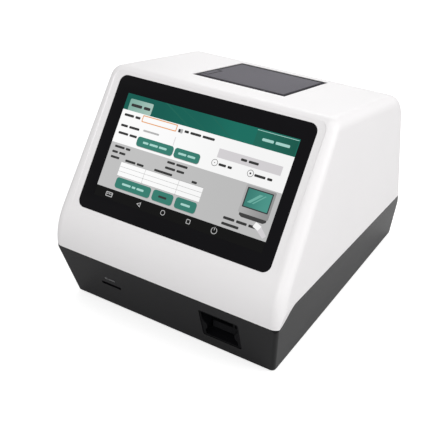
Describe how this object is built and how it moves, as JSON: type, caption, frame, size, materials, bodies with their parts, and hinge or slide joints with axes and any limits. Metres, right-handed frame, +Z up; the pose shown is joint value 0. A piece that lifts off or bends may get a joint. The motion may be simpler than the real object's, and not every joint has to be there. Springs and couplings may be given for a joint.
{
  "type": "immunoassay analyzer",
  "caption": "Bench immunoassay analyzer: white wedge case with a slanted touch screen on a dark base, hinged receipt printer lid in the top, cartridge tray port and card slot in front.",
  "frame": {"origin": "middle of the bounding box's bottom, on the table under the case", "axes": "+Z up, front with the screen and the cartridge port towards -Y, +X to the user's right"},
  "size_m": [0.245, 0.28, 0.2097],
  "materials": {
    "white_shell": "fine satin",
    "dark_shell": "fine matt texture",
    "screen_glass": "glossy cover glass with the lit picture behind it",
    "foam": "closed-cell foam",
    "display_metal": "satin",
    "zinc_steel": "zinc plated",
    "steel": "ground",
    "dark_grey_plastic": "matt",
    "black_plastic": "matt",
    "platen_rubber": "smooth",
    "gear_acetal": "smooth",
    "bare_aluminium": "satin",
    "ceramic": "glazed",
    "stainless_blade": "bright",
    "paper": "smooth thermal paper",
    "core_board": "kraft tube",
    "black_anodised": "anodised",
    "circuit_board": "solder mask",
    "board_part": "moulded",
    "ribbon_film": "film",
    "socket_steel": "plated",
    "foot_rubber": "matt"
  },
  "bodies": {
    "housing": {"upper_shell": "white_shell", "base_shell": "dark_shell", "touch_glass": "screen_glass", "screen_gasket": "foam", "display_module": "display_metal", "screen_bracket": "zinc_steel", "bracket_screws": "steel", "printer_bezel": "dark_grey_plastic", "lid_hinge_pin": "steel", "paper_tub": "dark_grey_plastic", "printer_motor": "zinc_steel", "printer_motor_plate": "zinc_steel", "tear_bar": "stainless_blade", "roll_spindle": "black_plastic", "port_bezel": "black_plastic", "tray_guide": "black_plastic", "motor_bracket": "zinc_steel", "tray_motor": "black_anodised", "optical_head": "black_anodised", "lens_barrel": "bare_aluminium", "optics_board": "circuit_board", "card_socket": "black_plastic", "card_board": "circuit_board", "chassis_plate": "zinc_steel", "chassis_screws": "steel", "main_board": "circuit_board", "board_spacers": "steel", "board_screws": "steel", "main_board_parts": "board_part", "heat_sink": "black_anodised", "power_board": "circuit_board", "power_board_parts": "board_part", "display_ribbon": "ribbon_film", "rear_panel": "black_plastic", "dc_inlet": "black_plastic", "power_switch": "black_plastic", "usb_sockets": "socket_steel", "lan_socket": "socket_steel", "serial_socket": "socket_steel", "fan_frame": "black_plastic", "fan_screws": "steel", "housing_screws": "steel", "rubber_feet": "foot_rubber"},
    "lid": {"printer_lid": "dark_grey_plastic"},
    "release": {"lid_release": "black_plastic"},
    "platen": {"platen_roller": "platen_rubber", "platen_shaft": "steel", "platen_gear": "gear_acetal"},
    "printer_drive": {"printer_drive_gear": "gear_acetal"},
    "thermal_head": {"print_head": "bare_aluminium", "heater_line": "ceramic"},
    "paper": {"paper_roll": "paper", "roll_core": "core_board"},
    "tray": {"cartridge_tray": "dark_grey_plastic"},
    "pinion": {"tray_pinion": "gear_acetal"},
    "rocker": {"power_rocker": "black_plastic"},
    "fan": {"fan_rotor": "black_plastic"}
  },
  "joints": [
    {"name": "lid_hinge", "type": "hinge", "parent": "housing", "child": "lid", "pos_m": [0, 0.07862, 0.18221], "axis": [-1, 0, 0], "range_deg": [0, 100]},
    {"name": "platen_spin", "type": "hinge", "parent": "lid", "child": "platen", "pos_m": [0, -0.00073, 0.19287], "axis": [1, 0, 0], "continuous": true},
    {"name": "printer_drive_spin", "type": "hinge", "parent": "housing", "child": "printer_drive", "pos_m": [0, 0.00368, 0.17911], "axis": [1, 0, 0], "continuous": true},
    {"name": "thermal_head_float", "type": "slide", "parent": "housing", "child": "thermal_head", "axis": [0, -0.212, -0.9773], "range_m": [0, 0.0005], "stiffness_N_per_m": 900, "springref_m": -0.0003},
    {"name": "release_press", "type": "slide", "parent": "housing", "child": "release", "axis": [0, -0.212, -0.9773], "range_m": [0, 0.0015], "stiffness_N_per_m": 600, "springref_m": -0.0005},
    {"name": "paper_spin", "type": "hinge", "parent": "housing", "child": "paper", "pos_m": [0, 0.04738, 0.15992], "axis": [1, 0, 0], "continuous": true},
    {"name": "tray_slide", "type": "slide", "parent": "housing", "child": "tray", "axis": [0, -1, 0], "range_m": [0, 0.03]},
    {"name": "pinion_spin", "type": "hinge", "parent": "housing", "child": "pinion", "pos_m": [0.04025, -0.08484, 0.0242], "axis": [0, 0, 1], "range_deg": [-270, 0]},
    {"name": "power_switch_rock", "type": "hinge", "parent": "housing", "child": "rocker", "pos_m": [-0.073, 0.13087, 0.03233], "axis": [0, -0.1461, 0.9893], "range_deg": [0, 12]},
    {"name": "fan_spin", "type": "hinge", "parent": "housing", "child": "fan", "pos_m": [0.062, 0.11292, 0.1104], "axis": [0, 0.9893, 0.1461], "continuous": true}
  ],
  "couplings": [
    {"joint": "printer_drive_spin", "follows": "platen_spin", "ratio": -0.5},
    {"joint": "pinion_spin", "follows": "tray_slide", "rad_per_m": -156.25}
  ]
}
